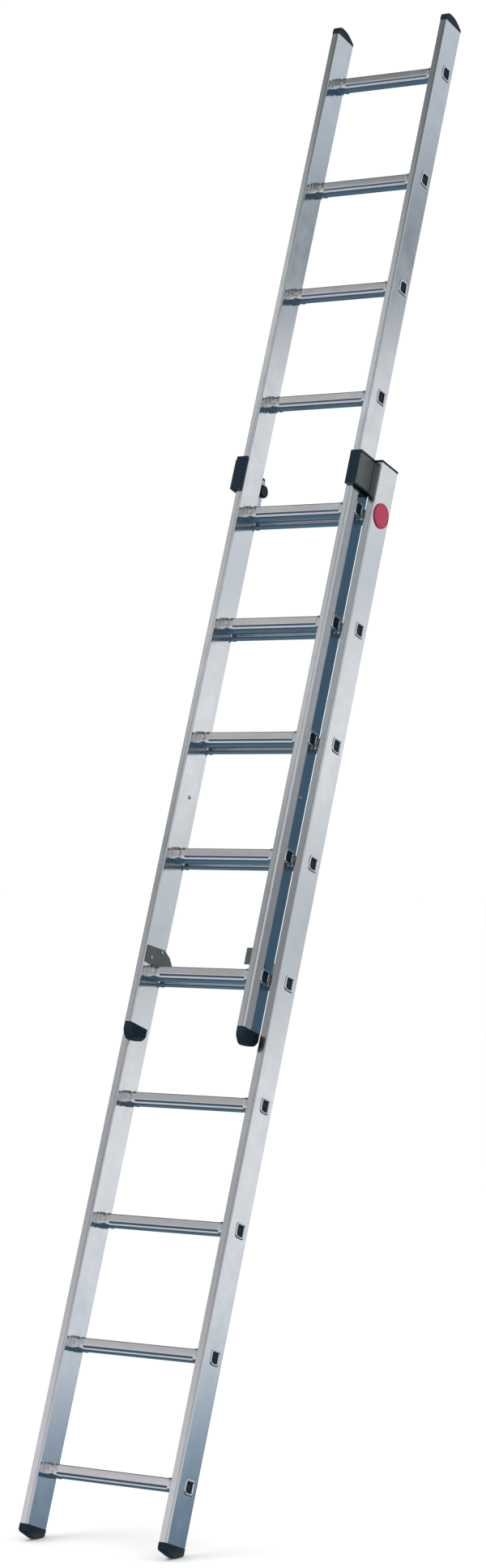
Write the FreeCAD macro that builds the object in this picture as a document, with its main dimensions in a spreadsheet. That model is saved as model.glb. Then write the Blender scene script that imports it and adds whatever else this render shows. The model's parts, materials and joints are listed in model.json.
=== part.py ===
import FreeCAD, Part
import os
import Sketcher

# A two-section push-up extension ladder in aluminium, leaning back as it stands in use.
# Ladder frame: X across the ladder (right is +X), Y from the climber's side to the back,
# Z up along the stiles, with Y = 0 on the fly section's front faces and Z = 0 at the lower
# ends of the base stiles. Every sub-part is drawn in the ladder frame, and its Placement
# leans it back about X, with the feet's soles on the floor at Z = 0 and the origin under the
# middle of the leaning ladder.

SIZES = {
    "lean_angle": (20, "lean from upright in use, degrees"),
    "rung_pitch": (280, "distance between rungs"),
    "rung_count": (9, "rungs in each section"),
    "raised_pitches": (4, "pitches the fly section is raised by"),
    "end_below": (125, "stile below the lowest rung"),
    "end_above": (119, "base stile above its highest rung"),
    "fly_extra": (4.5, "fly stile longer than the base stile"),
    "fly_width": (322, "fly section over its stiles"),
    "fly_thickness": (18, "fly stile across the ladder"),
    "fly_depth": (69, "fly stile front to back"),
    "base_thickness": (21, "base stile across the ladder"),
    "base_depth": (71, "base stile front to back"),
    "side_gap": (13.5, "fly stile's outer face to base stile's inner face"),
    "rung_gap": (7.5, "base rungs' front behind the fly stile's back"),
    "stile_wall": (2, "stile wall"),
    "stile_round": (3, "stile corner radius"),
    "fly_rung_back": (43, "fly rung axis behind the fly stile's front"),
    "base_rung_back": (41, "base rung axis behind the base stile's front"),
    "rung_depth": (28, "rung front to back"),
    "rung_height": (28, "rung from top to bottom"),
    "rung_round": (5, "rung back corner radius"),
    "rung_nose": (9, "rung front corner radius"),
    "rung_wall": (1.8, "rung wall"),
    "collar_length": (27, "swaged collar along the rung"),
    "collar_swell": (2.5, "swaged collar's growth each way"),
    "rim_width": (3, "flared rim around the hole"),
    "rim_proud": (2, "flared rim's height off the stile"),
    "plug_length": (14, "rung end plug"),
    "plug_recess": (3.5, "plug below the rim's edge"),
    "cap_lip": (0.5, "foot or cap beyond the stile's faces"),
    "foot_front": (18, "foot's height at its front"),
    "foot_toe": (44, "front of the foot's sole behind its front"),
    "foot_low": (26, "foot's height at the toe"),
    "spigot_length": (40, "foot or cap's spigot in the stile"),
    "lid_spigot": (8, "base top cap's spigot in the stile"),
    "spigot_slack": (0.15, "spigot's clearance all round"),
    "cap_front": (14, "fly top cap's height at its front"),
    "cap_peak": (21.5, "fly top cap's height at its peak"),
    "cap_back": (6, "fly top cap's height at its back"),
    "cap_slope": (30, "fly top cap's back slope, along the cap"),
    "heel_front": (20, "fly bottom cap's height at its front"),
    "heel_low": (37, "fly bottom cap's height at its lowest"),
    "heel_back": (19, "fly bottom cap's height at its back"),
    "heel_round": (12, "fly bottom cap's slopes front and back, along the cap"),
    "heel_rise": (6, "fly bottom cap's underside rise from front to back"),
    "lid_height": (6, "base top cap"),
    "lid_edge": (2, "base top cap's back edge"),
    "guide_height": (74, "guide strap along the stile"),
    "guide_drop": (0.5, "guide strap's top below the base stile's end"),
    "liner_rise": (8, "guide liner above the base stile's end"),
    "guide_front": (8, "guide's front before the fly's front"),
    "slide_slack": (1, "guide liner off the fly stile"),
    "strap_sheet": (2.5, "guide strap sheet"),
    "strap_rivet_inset": (17, "guide rivets from the strap's ends"),
    "strap_rivet_tail": (7, "guide rivets before the strap's back edge"),
    "strap_tail": (38, "guide strap along the base stile's inner face"),
    "flange_inset": (2.5, "strap's front flange behind the guide's front"),
    "liner_lip": (12, "guide liner's lip behind the fly stile"),
    "liner_lip_sheet": (5, "lip's thickness"),
    "hook_sheet": (2.5, "hook plate sheet"),
    "hook_slack": (0.4, "hook off the base rung"),
    "hook_tip": (7, "hook behind the base rung"),
    "hook_reach": (10, "hook below the rung's axis"),
    "hook_height": (62, "hook plate's top above the rung's axis"),
    "hook_crown": (21, "hook plate's upper back corner before its back"),
    "hook_fall": (10.5, "hook plate's upper back corner below its top"),
    "hook_shoulder": (24.5, "hook plate's shoulder below its top"),
    "hook_tab": (14, "right hook plate's finger tab"),
    "hook_rivet_front": (23, "front hook rivet behind the fly stile's front"),
    "hook_rivet_inset": (11.5, "back hook rivet before the fly stile's back"),
    "hook_rivet_low": (31, "front hook rivet above the rung's axis"),
    "rivet_head": (9, "rivet head across"),
    "rivet_shank": (5, "rivet shank across"),
    "rivet_dome": (2.2, "rivet head's height"),
    "rivet_bulb": (4, "blind rivet behind the wall"),
    "stop_pitches": (1.5, "stop rivet above the fly's lowest rung, in pitches"),
    "badge_width": (59, "badge across"),
    "badge_sheet": (3.6, "badge off the stile"),
    "badge_back": (36, "badge's centre behind the base stile's front"),
    "housing_width": (24, "catch housing front to back"),
    "housing_height": (6, "catch housing off the stile"),
    "housing_sheet": (2, "catch housing sheet"),
    "housing_length": (92, "catch housing along the stile"),
    "housing_drop": (4, "catch housing's top below the base stile's end"),
    "knob_width": (31, "catch knob across"),
    "knob_length": (13, "catch knob's length"),
    "knob_drop": (34, "catch knob's axis below the base stile's end"),
    "knob_back": (54, "catch knob's axis behind the base stile's front"),
    "bolt_width": (8, "catch bolt across"),
    "bolt_slack": (0.3, "catch bolt's clearance in its holes, on radius"),
    "catch_travel": (10, "catch bolt's travel"),
}

DERIVED = {
    "section_length": "end_below + (rung_count - 1) * rung_pitch + end_above",
    "fly_outer": "fly_width / 2",
    "fly_inner": "fly_outer - fly_thickness",
    "base_inner": "fly_outer + side_gap",
    "base_outer": "base_inner + base_thickness",
    "section_step": "fly_depth + rung_gap + rung_depth / 2 - base_rung_back",
    "fly_rung_axis": "fly_rung_back",
    "base_rung_axis": "section_step + base_rung_back",
    "fly_bottom": "raised_pitches * rung_pitch",
    "fly_top": "fly_bottom + section_length + fly_extra",
    "sole_run": "base_depth + cap_lip - foot_toe",
    "toe_back": "section_step + foot_toe",
    "lean_front": "(section_step - cap_lip) * cos(lean_angle) - foot_front * sin(lean_angle)",
    "lean_back": "(fly_depth + cap_lip) * cos(lean_angle) + (fly_top + cap_back) * sin(lean_angle)",
    "hook_rung": "fly_bottom + end_below",
}

doc = FreeCAD.newDocument("extension_ladder")
sheet = doc.addObject("Spreadsheet::Sheet", "Dims")


def fill_sheet():
    """Driving sizes first, then the places worked out from them."""
    row = 1
    for alias, (value, note) in SIZES.items():
        sheet.set(f"A{row}", note)
        sheet.set(f"B{row}", str(value))
        sheet.setAlias(f"B{row}", alias)
        row += 1
    doc.recompute()
    for alias, formula in DERIVED.items():
        sheet.set(f"A{row}", formula.replace("_", " "))
        sheet.set(f"B{row}", "=" + formula)
        sheet.setAlias(f"B{row}", alias)
        row += 1
    doc.recompute()


def bind(formula):
    """A formula in the sheet's own names, as an expression that points at the sheet."""
    words = []
    word = ""
    for letter in formula + " ":
        if letter.isalnum() or letter in "_.":
            word += letter
            continue
        known = word in SIZES or word in DERIVED
        words.append("Dims." + word if known else word)
        words.append(letter)
        word = ""
    return "".join(words).strip()


def size(formula):
    """The present value of a formula in the sheet's names, in mm."""
    return float(sheet.evalExpression(bind(formula)))



def side_word(side):
    return "right" if side > 0 else "left"


def outward(side, near, far):
    """Start of a stretch along X between two distances from the middle, on one side."""
    return near if side > 0 else f"-({far})"


def new_body(label):
    """One sub-part, leaning back about the X axis and lowered onto the floor."""
    body = doc.addObject("PartDesign::Body", label)
    body.Label = label
    body.AllowCompound = True
    place_in_use(body)
    return body


def place_in_use(item):
    item.Placement.Rotation = FreeCAD.Rotation(FreeCAD.Vector(1, 0, 0), -1)
    item.setExpression("Placement.Rotation.Angle", bind("-lean_angle"))
    item.setExpression("Placement.Base.y", bind("-(lean_front + lean_back) / 2"))
    item.setExpression(
        "Placement.Base.z",
        bind("toe_back * sin(lean_angle) + foot_low * cos(lean_angle)"),
    )


def new_sketch(body, name, plane, offset):
    """An empty sketch on one of the body's own planes, moved along the plane's normal."""
    sketch = body.newObject("Sketcher::SketchObject", name)
    for feature in body.Origin.OriginFeatures:
        if feature.Role == plane:
            sketch.AttachmentSupport = [(feature, "")]
    sketch.MapMode = "FlatFace"
    sketch.setExpression("AttachmentOffset.Base.z", bind(offset))
    return sketch


def pin_point(sketch, geometry, point, across, up):
    """Both coordinates of one point of a sketch, bound to formulas."""
    for kind, formula in (("DistanceX", across), ("DistanceY", up)):
        value = size(formula)
        index = sketch.addConstraint(Sketcher.Constraint(kind, -1, 1, geometry, point, value))
        sketch.setExpression(f"Constraints[{index}]", bind(formula))


def draw_outline(sketch, corners):
    """A closed outline of straight lines through corners given as formulas."""
    spots = [FreeCAD.Vector(size(across), size(up), 0) for across, up in corners]
    count = len(spots)
    for index in range(count):
        sketch.addGeometry(Part.LineSegment(spots[index], spots[(index + 1) % count]))
    for index in range(count):
        following = (index + 1) % count
        sketch.addConstraint(Sketcher.Constraint("Coincident", index, 2, following, 1))
    for index, (across, up) in enumerate(corners):
        pin_point(sketch, index, 1, across, up)


def draw_rounded(sketch, middle, width, height, radii):
    """A rectangle with a rounding of its own at each corner, from the lower left, anticlockwise."""
    half_width = size(width) / 2
    half_height = size(height) / 2
    centre = FreeCAD.Vector(size(middle[0]), size(middle[1]), 0)
    turns = ((-1, -1, 180), (1, -1, 270), (1, 1, 0), (-1, 1, 90))
    for (right, upper, start), radius in zip(turns, radii):
        reach = size(radius)
        hub = centre + FreeCAD.Vector(
            right * (half_width - reach), upper * (half_height - reach), 0
        )
        circle = Part.Circle(hub, FreeCAD.Vector(0, 0, 1), reach)
        first = FreeCAD.Units.Quantity(f"{start} deg").getValueAs("rad").Value
        last = FreeCAD.Units.Quantity(f"{start + 90} deg").getValueAs("rad").Value
        sketch.addGeometry(Part.ArcOfCircle(circle, first, last))
    for corner in range(4):
        begin = sketch.getPoint(corner, 2)
        end = sketch.getPoint((corner + 1) % 4, 1)
        sketch.addGeometry(Part.LineSegment(begin, end))
    for corner in range(4):
        line = corner + 4
        sketch.addConstraint(Sketcher.Constraint("Tangent", corner, 2, line, 1))
        sketch.addConstraint(Sketcher.Constraint("Tangent", line, 2, (corner + 1) % 4, 1))
        level = "Horizontal" if corner % 2 == 0 else "Vertical"
        sketch.addConstraint(Sketcher.Constraint(level, line))
        index = sketch.addConstraint(
            Sketcher.Constraint("Radius", corner, size(radii[corner]))
        )
        sketch.setExpression(f"Constraints[{index}]", bind(radii[corner]))
    low = f"({middle[1]}) - ({height}) / 2"
    high = f"({middle[1]}) + ({height}) / 2"
    left = f"({middle[0]}) - ({width}) / 2"
    right = f"({middle[0]}) + ({width}) / 2"
    edges = ((4, "DistanceY", low), (5, "DistanceX", right))
    edges += ((6, "DistanceY", high), (7, "DistanceX", left))
    for line, kind, formula in edges:
        constraint = Sketcher.Constraint(kind, -1, 1, line, 1, size(formula))
        index = sketch.addConstraint(constraint)
        sketch.setExpression(f"Constraints[{index}]", bind(formula))


def draw_circle(sketch, middle, width):
    hub = FreeCAD.Vector(size(middle[0]), size(middle[1]), 0)
    sketch.addGeometry(Part.Circle(hub, FreeCAD.Vector(0, 0, 1), size(width) / 2))
    pin_point(sketch, 0, 3, middle[0], middle[1])
    index = sketch.addConstraint(Sketcher.Constraint("Diameter", 0, size(width)))
    sketch.setExpression(f"Constraints[{index}]", bind(width))


def add_pad(body, sketch, length):
    pad = body.newObject("PartDesign::Pad", sketch.Name + "_pad")
    pad.Profile = sketch
    pad.setExpression("Length", bind(length))
    return pad


def cut_back(body, sketch, length):
    """A pocket from the sketch back against its normal."""
    pocket = body.newObject("PartDesign::Pocket", sketch.Name + "_pocket")
    pocket.Profile = sketch
    pocket.setExpression("Length", bind(length))
    return pocket


def repeat_upwards(body, feature, sketch):
    """One copy of a feature at each rung."""
    pattern = body.newObject("PartDesign::LinearPattern", feature.Name + "_rows")
    pattern.Originals = [feature]
    pattern.Direction = (sketch, ["V_Axis"])
    pattern.setExpression("Length", bind("(rung_count - 1) * rung_pitch"))
    pattern.setExpression("Occurrences", bind("rung_count"))
    body.Tip = pattern


def slab(body, name, start, length, corners):
    """A plate of constant outline across X."""
    sketch = new_sketch(body, name, "YZ_Plane", start)
    draw_outline(sketch, corners)
    return add_pad(body, sketch, length)


def column(body, name, start, length, corners):
    """A bar of constant outline along Z."""
    sketch = new_sketch(body, name, "XY_Plane", start)
    draw_outline(sketch, corners)
    return add_pad(body, sketch, length)


def round_bar(body, name, start, length, middle, width):
    """A round bar across X."""
    sketch = new_sketch(body, name, "YZ_Plane", start)
    draw_circle(sketch, middle, width)
    return add_pad(body, sketch, length)


def round_hole(body, name, end, length, middle, width):
    """A round hole across X, from its right end to the left."""
    sketch = new_sketch(body, name, "YZ_Plane", end)
    draw_circle(sketch, middle, width)
    return cut_back(body, sketch, length)


class Section:
    """The formulas that differ between the base section and the fly section."""

    def __init__(self, name, inner, outer, front, depth, rung_axis, bottom, top):
        self.name = name
        self.inner = inner
        self.outer = outer
        self.front = front
        self.depth = depth
        self.rung_axis = rung_axis
        self.bottom = bottom
        self.top = top
        self.back = f"{front} + {depth}"
        self.middle = f"{front} + {depth} / 2"
        self.thickness = f"({outer} - {inner})"
        self.first_rung = f"{bottom} + end_below"


BASE = Section(
    "base", "base_inner", "base_outer", "section_step", "base_depth",
    "base_rung_axis", "0", "section_length",
)
FLY = Section(
    "fly", "fly_inner", "fly_outer", "0", "fly_depth",
    "fly_rung_axis", "fly_bottom", "fly_top",
)
RUNG_RADII = ("rung_nose", "rung_round", "rung_round", "rung_nose")


def grown(radii, growth):
    return tuple(f"{radius} + {growth}" for radius in radii)


def make_stile(section, side):
    """A hollow extruded stile, with a hole for every rung."""
    body = new_body(f"{section.name}_stile_{side_word(side)}")
    length = f"({section.top} - {section.bottom})"
    middle = (f"{side} * ({section.outer} + {section.inner}) / 2", section.middle)
    outside = new_sketch(body, body.Label + "_outside", "XY_Plane", section.bottom)
    draw_rounded(outside, middle, section.thickness, section.depth, ("stile_round",) * 4)
    add_pad(body, outside, length)
    inside = new_sketch(body, body.Label + "_inside", "XY_Plane", section.top)
    draw_rounded(
        inside, middle, f"{section.thickness} - 2 * stile_wall",
        f"{section.depth} - 2 * stile_wall", ("stile_round - stile_wall",) * 4,
    )
    cut_back(body, inside, length)
    end = section.outer if side > 0 else f"-{section.inner}"
    hole = new_sketch(body, body.Label + "_rung_hole", "YZ_Plane", end)
    draw_rounded(
        hole, (section.rung_axis, section.first_rung), "rung_depth", "rung_height", RUNG_RADII
    )
    pocket = cut_back(body, hole, section.thickness)
    repeat_upwards(body, pocket, hole)
    return body


def drill_wall(body, section, side, name, middle, width, both_walls=False):
    """A hole through a stile's inner wall, or through both its walls."""
    depth = section.thickness if both_walls else "stile_wall"
    if side > 0:
        end = f"{section.inner} + {depth}"
    else:
        end = f"-{section.inner}"
    round_hole(body, f"{body.Label}_{name}", end, depth, middle, width)


def make_rung(section, index):
    """A tubular rung through both stiles, swaged inside them and flared outside them."""
    body = new_body(f"{section.name}_rung_{index + 1}")
    label = body.Label
    middle = (section.rung_axis, f"{section.first_rung} + {index} * rung_pitch")
    tube = new_sketch(body, label + "_tube", "YZ_Plane", f"-{section.outer}")
    draw_rounded(tube, middle, "rung_depth", "rung_height", RUNG_RADII)
    add_pad(body, tube, f"2 * {section.outer}")
    for side in (-1, 1):
        word = side_word(side)
        rim_start = outward(side, section.outer, f"{section.outer} + rim_proud")
        rim = new_sketch(body, f"{label}_rim_{word}", "YZ_Plane", rim_start)
        draw_rounded(
            rim, middle, "rung_depth + 2 * rim_width", "rung_height + 2 * rim_width",
            grown(RUNG_RADII, "rim_width"),
        )
        add_pad(body, rim, "rim_proud")
        wide = new_sketch(body, f"{label}_wide_{word}", "YZ_Plane", f"{side} * {section.inner}")
        draw_rounded(
            wide, middle, "rung_depth + 2 * collar_swell", "rung_height + 2 * collar_swell",
            grown(RUNG_RADII, "collar_swell"),
        )
        narrow_start = f"{side} * ({section.inner} - collar_length)"
        narrow = new_sketch(body, f"{label}_narrow_{word}", "YZ_Plane", narrow_start)
        draw_rounded(narrow, middle, "rung_depth", "rung_height", RUNG_RADII)
        collar = body.newObject("PartDesign::AdditiveLoft", f"{label}_collar_{word}")
        collar.Profile = wide
        collar.Sections = [narrow]
        collar.Ruled = True
    bore = new_sketch(body, label + "_bore", "YZ_Plane", f"{section.outer} + rim_proud")
    draw_rounded(
        bore, middle, "rung_depth - 2 * rung_wall", "rung_height - 2 * rung_wall",
        grown(RUNG_RADII, "(-rung_wall)"),
    )
    cut_back(body, bore, f"2 * ({section.outer} + rim_proud)")
    return body


def make_plugs(section, side):
    """The plastic plugs in one side's rung ends."""
    body = new_body(f"{section.name}_plugs_{side_word(side)}")
    end = f"{section.outer} + rim_proud - plug_recess"
    start = outward(side, f"{end} - plug_length", end)
    plug = new_sketch(body, body.Label + "_plug", "YZ_Plane", start)
    draw_rounded(
        plug, (section.rung_axis, section.first_rung),
        "rung_depth - 2 * rung_wall - 2 * spigot_slack",
        "rung_height - 2 * rung_wall - 2 * spigot_slack",
        grown(RUNG_RADII, "(-rung_wall)"),
    )
    pad = add_pad(body, plug, "plug_length")
    repeat_upwards(body, pad, plug)
    return body


def add_spigot(body, section, side, start, length):
    """The plain block of an end cap that stands inside the stile."""
    middle = (f"{side} * ({section.outer} + {section.inner}) / 2", section.middle)
    room = "2 * (stile_wall + spigot_slack)"
    spigot = new_sketch(body, body.Label + "_spigot", "XY_Plane", start)
    draw_rounded(
        spigot, middle, f"{section.thickness} - {room}", f"{section.depth} - {room}",
        ("stile_round - stile_wall",) * 4,
    )
    add_pad(body, spigot, length)


def end_cap(label, section, side, profile, spigot_start, spigot_length="spigot_length"):
    """A moulded cap as wide as its stile and a lip, with a spigot."""
    body = new_body(label)
    start = outward(side, f"{section.inner} - cap_lip", f"{section.outer} + cap_lip")
    slab(body, label + "_cap", start, f"{section.thickness} + 2 * cap_lip", profile)
    add_spigot(body, section, side, spigot_start, spigot_length)
    return body


def make_foot(side):
    """A rubber foot. Its sole is flat on the floor at the lean angle."""
    front = f"{BASE.front} - cap_lip"
    back = f"{BASE.back} + cap_lip"
    profile = (
        (front, "0"),
        (front, "-foot_front"),
        ("toe_back", "-foot_low"),
        (back, "-foot_low + sole_run * tan(lean_angle)"),
        (back, "0"),
    )
    return end_cap(f"base_foot_{side_word(side)}", BASE, side, profile, BASE.bottom)


def make_lid(side):
    """The thin cap on a base stile's top."""
    front = f"{BASE.front} - cap_lip"
    back = f"{BASE.back} + cap_lip"
    profile = (
        (front, BASE.top),
        (back, BASE.top),
        (back, f"{BASE.top} + lid_edge"),
        (f"{back} - lid_height", f"{BASE.top} + lid_height"),
        (front, f"{BASE.top} + lid_height"),
    )
    spigot_start = f"{BASE.top} - lid_spigot"
    label = f"base_lid_{side_word(side)}"
    return end_cap(label, BASE, side, profile, spigot_start, "lid_spigot")


def make_heel(side):
    """The cap under a fly stile, lowest near its front."""
    front = f"{FLY.front} - cap_lip"
    back = f"{FLY.back} + cap_lip"
    profile = (
        (front, FLY.bottom),
        (front, f"{FLY.bottom} - heel_front"),
        (f"{front} + heel_round", f"{FLY.bottom} - heel_low"),
        (f"{back} - heel_round", f"{FLY.bottom} - heel_low + heel_rise"),
        (back, f"{FLY.bottom} - heel_back"),
        (back, FLY.bottom),
    )
    return end_cap(f"fly_heel_{side_word(side)}", FLY, side, profile, FLY.bottom)


def make_top_cap(side):
    """The cap on a fly stile's top, rounded down to the back."""
    front = f"{FLY.front} - cap_lip"
    back = f"{FLY.back} + cap_lip"
    profile = (
        (front, FLY.top),
        (back, FLY.top),
        (back, f"{FLY.top} + cap_back"),
        (f"{back} - cap_slope", f"{FLY.top} + cap_peak"),
        (f"{front} + cap_peak - cap_front", f"{FLY.top} + cap_peak"),
        (front, f"{FLY.top} + cap_front"),
    )
    spigot_start = f"{FLY.top} - spigot_length"
    return end_cap(f"fly_top_cap_{side_word(side)}", FLY, side, profile, spigot_start)


GUIDE_TOP = "section_length - guide_drop"
GUIDE_BOTTOM = f"({GUIDE_TOP} - guide_height)"
STRAP_FACE = "(base_inner - strap_sheet)"
FLANGE_FRONT = "(-guide_front + flange_inset)"


def make_strap(side):
    """A steel strap on the base stile's inner face, reaching forward past the fly stile."""
    body = new_body(f"guide_strap_{side_word(side)}")
    corners = (
        (f"{side} * base_inner", "-guide_front"),
        (f"{side} * base_inner", "section_step + strap_tail"),
        (f"{side} * {STRAP_FACE}", "section_step + strap_tail"),
        (f"{side} * {STRAP_FACE}", f"{FLANGE_FRONT} + strap_sheet"),
        (f"{side} * (fly_inner + strap_sheet)", f"{FLANGE_FRONT} + strap_sheet"),
        (f"{side} * (fly_inner + strap_sheet)", FLANGE_FRONT),
        (f"{side} * {STRAP_FACE}", FLANGE_FRONT),
        (f"{side} * {STRAP_FACE}", "-guide_front"),
    )
    column(body, body.Label + "_bend", GUIDE_BOTTOM, "guide_height", corners)
    start = outward(side, STRAP_FACE, "base_inner")
    end = f"{start} + strap_sheet"
    for name, middle in strap_rivet_places():
        round_hole(body, f"{body.Label}_{name}", end, "strap_sheet", middle, "rivet_shank")
    return body


def strap_rivet_places():
    """Two rivets through the base stile's inner wall."""
    low = f"{GUIDE_BOTTOM} + strap_rivet_inset"
    high = f"{GUIDE_TOP} - strap_rivet_inset"
    tail = "section_step + strap_tail - strap_rivet_tail"
    return (("low", (tail, low)), ("high", (tail, high)))


def make_liner(side):
    """The plastic channel that the fly stile slides in, pushed down over the strap's flange."""
    body = new_body(f"guide_liner_{side_word(side)}")
    wall = "(fly_outer + rim_proud + slide_slack)"
    lip_front = "fly_depth + slide_slack"
    lip_back = f"{lip_front} + liner_lip_sheet"
    corners = (
        (f"{side} * fly_inner", "-guide_front"),
        (f"{side} * {STRAP_FACE}", "-guide_front"),
        (f"{side} * {STRAP_FACE}", lip_back),
        (f"{side} * (fly_outer - liner_lip)", lip_back),
        (f"{side} * (fly_outer - liner_lip)", lip_front),
        (f"{side} * {wall}", lip_front),
        (f"{side} * {wall}", "-slide_slack"),
        (f"{side} * fly_inner", "-slide_slack"),
    )
    length = "guide_height + guide_drop + liner_rise"
    column(body, body.Label + "_channel", GUIDE_BOTTOM, length, corners)
    slot = new_sketch(body, body.Label + "_slot", "XY_Plane", GUIDE_TOP)
    flange_back = f"{FLANGE_FRONT} + strap_sheet"
    draw_outline(slot, (
        (f"{side} * (fly_inner + strap_sheet)", FLANGE_FRONT),
        (f"{side} * {STRAP_FACE}", FLANGE_FRONT),
        (f"{side} * {STRAP_FACE}", flange_back),
        (f"{side} * (fly_inner + strap_sheet)", flange_back),
    ))
    cut_back(body, slot, "guide_height")
    return body


def add_rivet(body, name, side, face, grip, middle, tail):
    """A rivet along X. Its head stands inward of a face, its shank goes outward through."""
    head = outward(side, f"{face} - rivet_dome", face)
    round_bar(body, f"{name}_head", head, "rivet_dome", middle, "rivet_head")
    shank = outward(side, face, f"{face} + {grip}")
    round_bar(body, f"{name}_shank", shank, grip, middle, "rivet_shank")
    if tail:
        start = outward(side, f"{face} + {grip}", f"{face} + {grip} + {tail}")
        round_bar(body, f"{name}_tail", start, tail, middle, "rivet_head - rivet_dome")


def make_strap_rivets(side):
    """Blind rivets of one guide, through strap and stile wall."""
    body = new_body(f"guide_rivets_{side_word(side)}")
    grip = "strap_sheet + stile_wall"
    for name, middle in strap_rivet_places():
        add_rivet(body, f"{body.Label}_{name}", side, STRAP_FACE, grip, middle, "rivet_bulb")
    return body


def hook_rivet_places():
    low = "hook_rung + hook_rivet_low"
    high = "hook_rung + hook_height - rivet_head"
    return (("front", ("hook_rivet_front", low)), ("back", ("fly_depth - hook_rivet_inset", high)))


def make_hook(side):
    """A steel hook plate on a fly stile's inner face, hung over the base rung behind."""
    body = new_body(f"hook_plate_{side_word(side)}")
    clear = "collar_swell + hook_slack"
    over_collar = f"hook_rung + rung_height / 2 + {clear}"
    over_rung = "hook_rung + rung_height / 2 + hook_slack"
    throat = "base_rung_axis + rung_depth / 2 + hook_slack"
    behind_collar = f"fly_rung_axis + rung_depth / 2 + {clear}"
    back = f"{throat} + hook_tip"
    top = "hook_rung + hook_height"
    corners = (
        ("stile_round + cap_lip", over_collar),
        ("stile_round + cap_lip", f"{top} - hook_tip"),
        ("fly_depth - stile_round", top),
        (f"{back} - hook_crown", f"{top} - hook_fall"),
        (f"{back} - hook_tip", f"{top} - hook_shoulder"),
        (back, over_rung),
        (back, "hook_rung - hook_reach"),
        (throat, "hook_rung - hook_reach"),
        (throat, over_rung),
        (behind_collar, over_rung),
        (behind_collar, over_collar),
    )
    start = outward(side, "fly_inner - hook_sheet", "fly_inner")
    slab(body, body.Label + "_plate", start, "hook_sheet", corners)
    end = f"{start} + hook_sheet"
    for name, middle in hook_rivet_places():
        round_hole(body, f"{body.Label}_{name}", end, "hook_sheet", middle, "rivet_shank")
    if side > 0:
        add_hook_tab(body, over_collar)
    return body


def add_hook_tab(body, low):
    """The finger tab bent inward from the right hook plate."""
    inner = "fly_inner - hook_sheet - hook_tab"
    outer = "fly_inner - hook_sheet"
    front = "stile_round + cap_lip"
    back = f"{front} + hook_sheet"
    corners = ((inner, front), (outer, front), (outer, back), (inner, back))
    length = "hook_height - hook_tip - rung_height / 2 - collar_swell - hook_slack"
    column(body, body.Label + "_tab", low, length, corners)


def make_hook_rivets(side):
    body = new_body(f"hook_rivets_{side_word(side)}")
    face = "(fly_inner - hook_sheet)"
    grip = "hook_sheet + stile_wall"
    for name, middle in hook_rivet_places():
        add_rivet(body, f"{body.Label}_{name}", side, face, grip, middle, "rivet_bulb")
    return body


STOP_PLACE = ("fly_rung_axis", "fly_bottom + end_below + stop_pitches * rung_pitch")


def make_stop_rivet(side):
    """The rivet right through a fly stile that meets the guide when the fly is pushed too far."""
    body = new_body(f"stop_rivet_{side_word(side)}")
    grip = "(fly_outer - fly_inner)"
    add_rivet(body, body.Label, side, "fly_inner", grip, STOP_PLACE, None)
    head = outward(side, "fly_outer", "fly_outer + rivet_dome")
    round_bar(body, body.Label + "_outer", head, "rivet_dome", STOP_PLACE, "rivet_head")
    return body


def make_badge():
    """A plain round badge over the top rung's end on the right base stile."""
    body = new_body("badge")
    rung = "end_below + (rung_count - 1) * rung_pitch"
    middle = ("section_step + badge_back", rung)
    round_bar(body, "badge_disc", "base_outer", "badge_sheet", middle, "badge_width")
    depth = "rim_proud + hook_slack"
    recess = new_sketch(body, "badge_recess", "YZ_Plane", f"base_outer + {depth}")
    growth = "rim_width + hook_slack"
    draw_rounded(
        recess, ("base_rung_axis", rung), f"rung_depth + 2 * ({growth})",
        f"rung_height + 2 * ({growth})", grown(RUNG_RADII, f"({growth})"),
    )
    cut_back(body, recess, depth)
    return body


KNOB_AXIS = ("section_step + knob_back", "section_length - knob_drop")
HOUSING_FACE = "(base_inner - housing_height)"


def make_housing():
    """The folded steel housing of the spring catch, on the left base stile's inner face."""
    body = new_body("catch_housing")
    front = "section_step + knob_back - housing_width / 2"
    back = "section_step + knob_back + housing_width / 2"
    top = "section_length - housing_drop"
    bottom = f"{top} - housing_length"
    outline = ((front, bottom), (back, bottom), (back, top), (front, top))
    slab(body, "catch_housing_block", "-base_inner", "housing_height", outline)
    hollow = new_sketch(body, "catch_housing_hollow", "YZ_Plane", f"-{HOUSING_FACE} - housing_sheet")
    draw_outline(hollow, (
        (f"{front} + housing_sheet", f"{bottom} + housing_sheet"),
        (f"{back} - housing_sheet", f"{bottom} + housing_sheet"),
        (f"{back} - housing_sheet", f"{top} - housing_sheet"),
        (f"{front} + housing_sheet", f"{top} - housing_sheet"),
    ))
    cut_back(body, hollow, "housing_height - housing_sheet")
    end = f"-{HOUSING_FACE}"
    width = "bolt_width + 2 * bolt_slack"
    round_hole(body, "catch_housing_bolt", end, "housing_sheet", KNOB_AXIS, width)
    for name, middle in housing_rivet_places():
        round_hole(body, f"catch_housing_{name}", end, "housing_sheet", middle, "rivet_shank")
    return body


def housing_rivet_places():
    across = "section_step + knob_back"
    top = "section_length - housing_drop"
    high = f"{top} - rivet_head"
    low = f"{top} - housing_length + rivet_head"
    return (("high", (across, high)), ("low", (across, low)))


def make_housing_rivets():
    body = new_body("catch_rivets")
    grip = "housing_height + stile_wall"
    for name, middle in housing_rivet_places():
        add_rivet(body, f"catch_rivets_{name}", -1, HOUSING_FACE, grip, middle, "rivet_bulb")
    return body


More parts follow.
